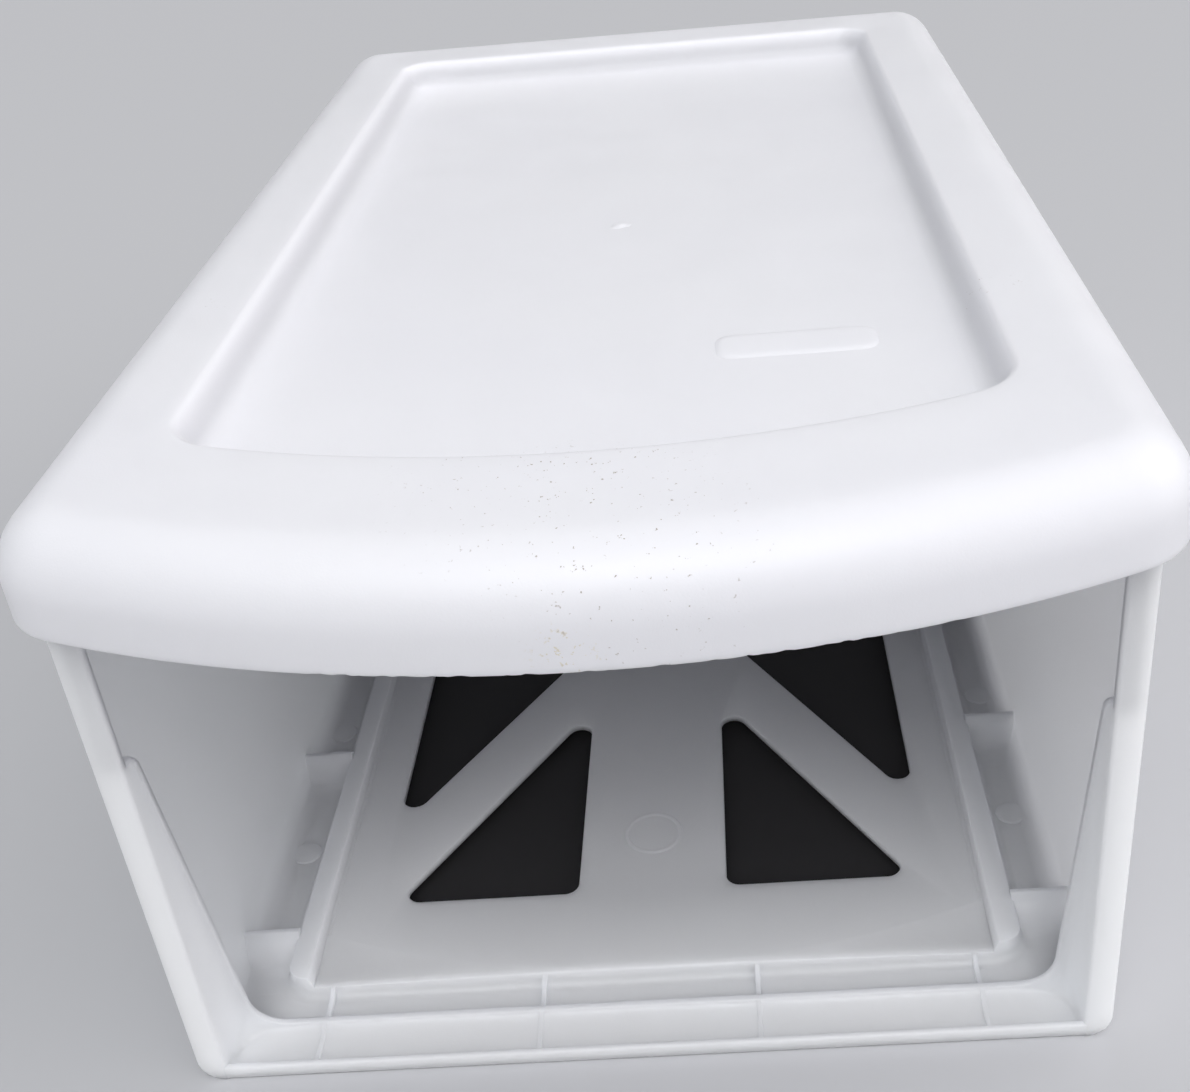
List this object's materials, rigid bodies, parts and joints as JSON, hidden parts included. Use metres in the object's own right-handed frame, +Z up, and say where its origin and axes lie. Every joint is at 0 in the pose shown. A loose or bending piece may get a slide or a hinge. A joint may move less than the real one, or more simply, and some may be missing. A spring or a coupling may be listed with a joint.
{
  "type": "stacking storage drawer housing",
  "caption": "Open-fronted stacking storage housing with a pierced floor, runner rails and a lift-off cover whose sunken top takes the next unit.",
  "frame": {"origin": "bottom centre of the whole object, on the surface it stands on", "axes": "+X to the right seen from the open front, +Y from the open front to the back, +Z up"},
  "size_m": [0.21, 0.3608, 0.137],
  "materials": {
    "cover_plastic": "satin white polypropylene",
    "body_plastic": "satin white polypropylene"
  },
  "bodies": {
    "body": {"right_side_wall": "body_plastic", "left_side_wall": "body_plastic", "back_wall": "body_plastic", "front_sill": "body_plastic", "base_panel": "body_plastic", "right_trough": "body_plastic", "left_trough": "body_plastic", "rear_trough": "body_plastic"},
    "cover": {"top_cover": "cover_plastic"}
  },
  "joints": [
    {"name": "cover_lift", "type": "slide", "parent": "body", "child": "cover", "axis": [0, 0, 1], "range_m": [0, 0.06]}
  ]
}
